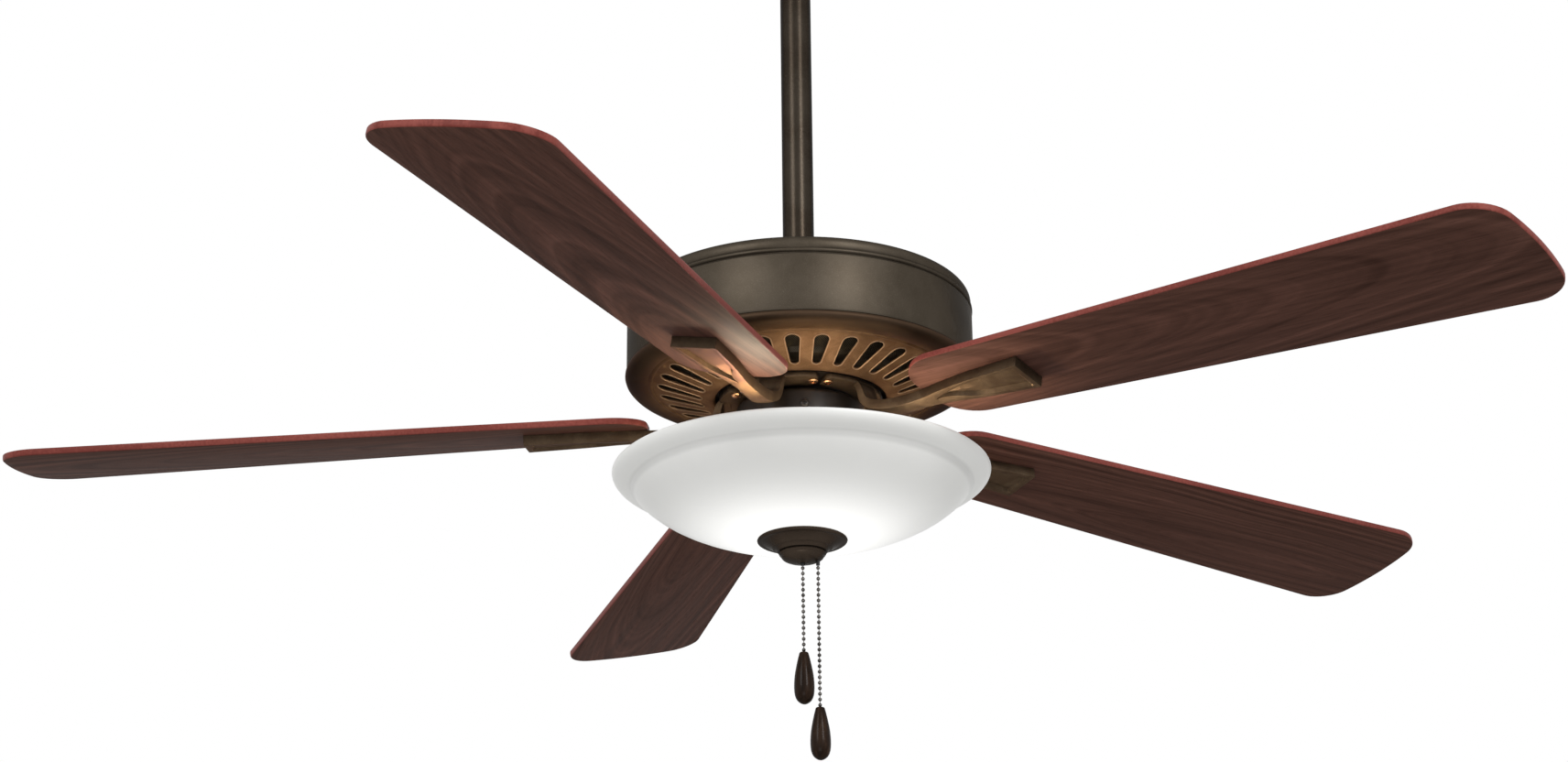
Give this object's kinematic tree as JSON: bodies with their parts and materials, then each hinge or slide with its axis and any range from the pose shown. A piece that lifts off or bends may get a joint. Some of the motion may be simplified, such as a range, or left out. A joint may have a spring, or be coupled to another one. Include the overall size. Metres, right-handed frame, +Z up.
{
  "type": "ceiling fan with light",
  "caption": "Ceiling fan on a downrod, with pitched wooden blades under a vented motor housing, a frosted bowl light below it and bead pull chains.",
  "frame": {"origin": "middle of the hanger bracket's top face, where it meets the ceiling", "axes": "+Z up, into the ceiling and along the downrod and the motor's axis; +X to the right and +Y away when facing the side that the chains hang in front of"},
  "size_m": [1.2325, 1.2773, 0.8975],
  "materials": {
    "bronze": "aged bronze, satin",
    "copper_bronze": "burnished copper-bronze, satin",
    "dark_enamel": "dark enamel",
    "walnut": "walnut grain, satin lacquer",
    "frosted_glass": "frosted white glass",
    "steel": "zinc plated",
    "iron_core": "laminated electrical steel",
    "copper_wire": "enamelled copper wire",
    "screw_brass": "bright, pan head",
    "black_plastic": "moulded",
    "capacitor_case": "potted case",
    "board": "white solder mask on aluminium",
    "rubber": "soft washer",
    "chain": "blackened bead chain",
    "stained_wood": "dark stained, gloss lacquer"
  },
  "bodies": {
    "ceiling_mount": {"ceiling_bracket": "steel", "canopy": "bronze"},
    "motor_frame": {"hanger_ball": "black_plastic", "hanger_pin": "steel", "downrod": "bronze", "motor_coupling": "steel", "coupling_pin": "steel", "coupling_cover": "bronze", "motor_housing": "bronze", "vent_plate": "copper_bronze", "vent_mesh": "dark_enamel", "motor_shaft": "steel", "stator_core": "iron_core", "stator_coils_upper": "copper_wire", "stator_coils_lower": "copper_wire", "shaft_nut": "steel", "switch_housing": "dark_enamel", "fan_switch": "black_plastic", "light_switch": "black_plastic", "run_capacitor": "capacitor_case", "light_driver": "black_plastic", "light_pan": "dark_enamel", "light_board": "board", "centre_tube": "steel", "glass_bowl": "frosted_glass", "bowl_washer": "rubber", "finial_cap": "bronze", "finial_knob": "bronze"},
    "rotor": {"rotor_upper_shell": "dark_enamel", "rotor_lower_shell": "dark_enamel", "rotor_ring": "iron_core", "upper_bearing": "steel", "lower_bearing": "steel", "blade_iron_1": "copper_bronze", "blade_iron_2": "copper_bronze", "blade_iron_3": "copper_bronze", "blade_iron_4": "copper_bronze", "blade_iron_5": "copper_bronze", "blade_1": "walnut", "blade_2": "walnut", "blade_3": "walnut", "blade_4": "walnut", "blade_5": "walnut", "iron_screw_1a": "screw_brass", "iron_screw_1b": "screw_brass", "iron_screw_2a": "screw_brass", "iron_screw_2b": "screw_brass", "iron_screw_3a": "screw_brass", "iron_screw_3b": "screw_brass", "iron_screw_4a": "screw_brass", "iron_screw_4b": "screw_brass", "iron_screw_5a": "screw_brass", "iron_screw_5b": "screw_brass"},
    "reverse_slider": {"reverse_switch": "black_plastic"},
    "fan_pull": {"fan_switch_link": "black_plastic"},
    "fan_chain_run": {"fan_chain": "chain", "fan_fob": "stained_wood"},
    "light_pull": {"light_switch_link": "black_plastic"},
    "light_chain_run": {"light_chain": "chain", "light_fob": "stained_wood"}
  },
  "joints": [
    {"name": "hanger_tilt", "type": "hinge", "parent": "ceiling_mount", "child": "motor_frame", "pos_m": [0, 0, -0.043], "axis": [1, 0, 0], "range_deg": [-18, 18]},
    {"name": "rotor_spin", "type": "hinge", "parent": "motor_frame", "child": "rotor", "pos_m": [0, 0, -0.625], "axis": [0, 0, 1], "continuous": true},
    {"name": "reverse_slide", "type": "slide", "parent": "motor_frame", "child": "reverse_slider", "axis": [1, 0, 0], "range_m": [0, 0.006]},
    {"name": "fan_pull_slide", "type": "slide", "parent": "motor_frame", "child": "fan_pull", "axis": [0, 0, -1], "range_m": [0, 0.007], "stiffness_N_per_m": 300},
    {"name": "fan_chain_swing", "type": "hinge", "parent": "fan_pull", "child": "fan_chain_run", "pos_m": [0, 0, -0.735], "axis": [1, 0, 0], "range_deg": [-18, 18]},
    {"name": "light_pull_slide", "type": "slide", "parent": "motor_frame", "child": "light_pull", "axis": [0, 0, -1], "range_m": [0, 0.007], "stiffness_N_per_m": 300},
    {"name": "light_chain_swing", "type": "hinge", "parent": "light_pull", "child": "light_chain_run", "pos_m": [0.0125, 0, -0.735], "axis": [1, 0, 0], "range_deg": [-18, 18]}
  ]
}
